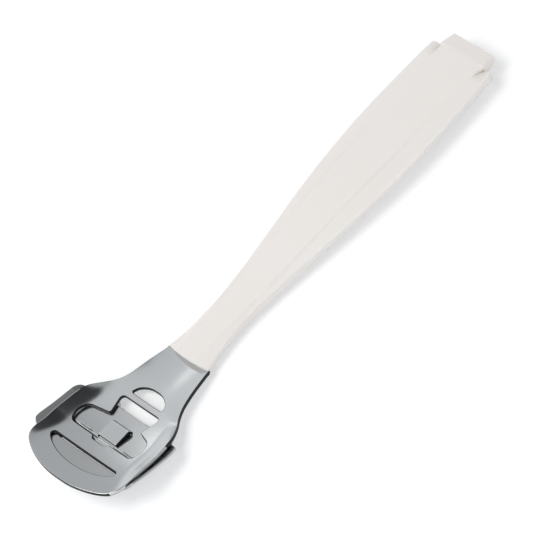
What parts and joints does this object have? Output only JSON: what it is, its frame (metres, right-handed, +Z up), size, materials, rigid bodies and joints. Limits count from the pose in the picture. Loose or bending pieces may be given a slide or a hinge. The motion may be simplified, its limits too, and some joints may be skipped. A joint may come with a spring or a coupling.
{
  "type": "foot callus shaver",
  "caption": "Hand tool for smoothing the feet: a moulded handle with a dished steel head, a hinged sole with ears and a latch tongue, and a thin curved blade between the plates.",
  "frame": {"origin": "bottom centre of the whole tool's box, on the plane of the handle's flat underside", "axes": "+Y along the tool towards the handle's end, +Z up out of the hollow side of the head, +X to the right seen from above with the handle away"},
  "size_m": [0.0442, 0.162, 0.0081],
  "materials": {
    "handle_plastic": "moulded, soft sheen",
    "head_steel": "pressed stainless sheet, polished",
    "sole_steel": "pressed stainless sheet, polished",
    "blade_steel": "ground, sharp edge"
  },
  "bodies": {
    "grip": {"handle": "handle_plastic", "head_plate": "head_steel"},
    "sole": {"sole_plate": "sole_steel", "blade": "blade_steel"}
  },
  "joints": [
    {"name": "sole_swing", "type": "hinge", "parent": "grip", "child": "sole", "pos_m": [0, -0.05397, 0.00128], "axis": [1, 0, 0], "range_deg": [0, 30]}
  ]
}
